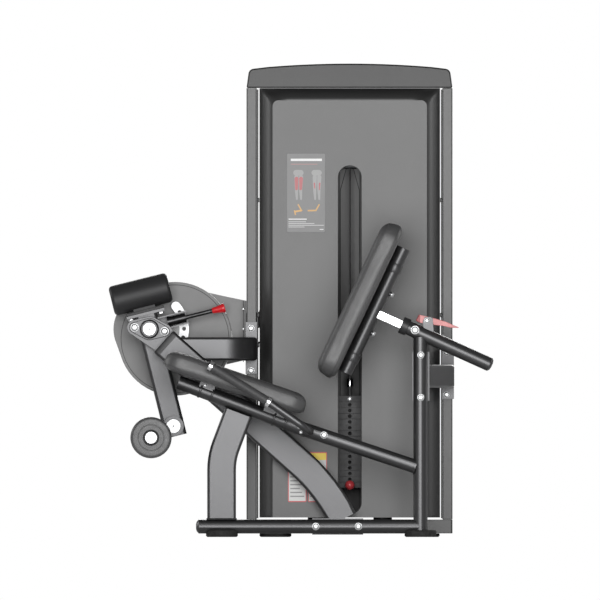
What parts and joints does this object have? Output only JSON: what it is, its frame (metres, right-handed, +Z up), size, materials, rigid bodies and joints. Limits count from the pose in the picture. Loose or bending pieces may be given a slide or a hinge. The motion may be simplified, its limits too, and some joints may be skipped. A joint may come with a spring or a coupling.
{
  "type": "leg extension machine",
  "caption": "Seated leg extension machine with a shrouded weight tower, cam-driven lever arm with roller pad and counterweight, side handles and a sliding back rest.",
  "frame": {"origin": "on the floor under the middle of the machine's box", "axes": "+Z up; +X from the user's feet towards the back rest; +Y from the user's near side to the weight tower"},
  "size_m": [1.2307, 0.9967, 1.5149],
  "materials": {
    "frame_paint": "satin",
    "tower_paint": "fine texture",
    "upholstery": "satin",
    "rubber": "matte",
    "zinc": "satin",
    "chrome": "polished",
    "steel": "machined",
    "cast_iron": "painted",
    "red": "gloss",
    "guard_plastic": "matte",
    "cable_coat": "satin",
    "pulley_nylon": "satin"
  },
  "bodies": {
    "root": {"base_tube": "frame_paint", "front_leg": "frame_paint", "seat_rail": "frame_paint", "rear_post": "frame_paint", "back_sleeve": "frame_paint", "foot_near_front": "rubber", "foot_near_rear": "rubber", "foot_tower_front": "rubber", "foot_tower_rear": "rubber", "spine_tube": "frame_paint", "upper_link_tube": "frame_paint", "rear_link_tube": "frame_paint", "bearing_plate": "frame_paint", "tower_base": "tower_paint", "upright_front": "tower_paint", "upright_rear": "tower_paint", "top_cap": "tower_paint", "front_shroud": "tower_paint", "rear_shroud": "tower_paint", "guide_frame": "steel", "cam_guard": "guard_plastic", "belt_guard": "guard_plastic", "seat_pad": "upholstery", "near_handle": "frame_paint", "near_grip": "rubber", "far_handle": "frame_paint", "far_grip": "rubber", "drive_cable": "cable_coat"},
    "cam": {"cam_shaft": "steel", "index_plate": "zinc"},
    "arm": {"lever_arm": "frame_paint", "counterweight": "cast_iron"},
    "rocker": {"release_lever": "steel"},
    "pin": {"lock_pin": "zinc"},
    "swing_link": {"roller_link": "frame_paint"},
    "roller": {"roller_pad": "upholstery"},
    "back_rest": {"back_pad": "upholstery", "back_tube": "frame_paint", "back_slider": "chrome"},
    "back_lever": {"back_release_lever": "red"},
    "weight_stack": {"head_plate": "cast_iron", "lift_cable": "cable_coat", "weight_plate_01": "cast_iron", "weight_plate_02": "cast_iron", "weight_plate_03": "cast_iron", "weight_plate_04": "cast_iron", "weight_plate_05": "cast_iron", "weight_plate_06": "cast_iron", "weight_plate_07": "cast_iron", "weight_plate_08": "cast_iron", "weight_plate_09": "cast_iron", "weight_plate_10": "cast_iron", "weight_plate_11": "cast_iron", "weight_plate_12": "cast_iron", "weight_plate_13": "cast_iron", "weight_plate_14": "cast_iron", "weight_plate_15": "cast_iron"},
    "selector": {"selector_pin": "red"},
    "turn_wheel": {"turn_pulley": "pulley_nylon"},
    "top_wheel": {"top_pulley": "pulley_nylon"}
  },
  "joints": [
    {"name": "leg_extension", "type": "hinge", "parent": "root", "child": "cam", "pos_m": [-0.4827, 0.2035, 0.6653], "axis": [0, 1, 0], "range_deg": [0, 100]},
    {"name": "start_adjust", "type": "hinge", "parent": "cam", "child": "arm", "pos_m": [-0.4827, 0.085, 0.6653], "axis": [0, 1, 0], "range_deg": [-14.4, 43.2]},
    {"name": "release_rocker", "type": "hinge", "parent": "arm", "child": "rocker", "pos_m": [-0.4206, 0.085, 0.68903], "axis": [0.2419, 0, -0.9703], "range_deg": [-9.4, 5]},
    {"name": "lock_pin_slide", "type": "slide", "parent": "arm", "child": "pin", "axis": [0, -1, 0], "range_m": [-0.0075, 0.004]},
    {"name": "roller_swing", "type": "hinge", "parent": "arm", "child": "swing_link", "pos_m": [-0.40528, 0.05, 0.35481], "axis": [0, 1, 0], "range_deg": [-17, 40]},
    {"name": "roller_spin", "type": "hinge", "parent": "swing_link", "child": "roller", "pos_m": [-0.4776, -0.258, 0.3178], "axis": [0, 1, 0], "continuous": true},
    {"name": "back_slide", "type": "slide", "parent": "root", "child": "back_rest", "axis": [-0.9118, 0, 0.4107], "range_m": [-0.045, 0.1]},
    {"name": "back_lever_squeeze", "type": "hinge", "parent": "root", "child": "back_lever", "pos_m": [0.4053, -0.268, 0.6925], "axis": [0, 1, 0], "range_deg": [0, 18], "stiffness_Nm_per_rad": 2, "springref_deg": -14.32},
    {"name": "stack_lift", "type": "slide", "parent": "root", "child": "weight_stack", "axis": [0, 0, 1], "range_m": [0, 0.2], "deforming": ["lift_cable"]},
    {"name": "selector_pull", "type": "slide", "parent": "weight_stack", "child": "selector", "axis": [0, -1, 0], "range_m": [0, 0.085]},
    {"name": "turn_pulley_spin", "type": "hinge", "parent": "root", "child": "turn_wheel", "pos_m": [-0.07, 0.2035, 0.7], "axis": [0, 1, 0], "range_deg": [-200, 10]},
    {"name": "top_pulley_spin", "type": "hinge", "parent": "root", "child": "top_wheel", "pos_m": [0.0763, 0.2035, 1.3], "axis": [0, 1, 0], "range_deg": [-160, 10]}
  ],
  "couplings": [
    {"joint": "lock_pin_slide", "follows": "release_rocker", "m_per_rad": 0.045},
    {"joint": "stack_lift", "follows": "leg_extension", "m_per_rad": 0.1135},
    {"joint": "turn_pulley_spin", "follows": "leg_extension", "ratio": -1.7874},
    {"joint": "top_pulley_spin", "follows": "leg_extension", "ratio": -1.3791}
  ]
}
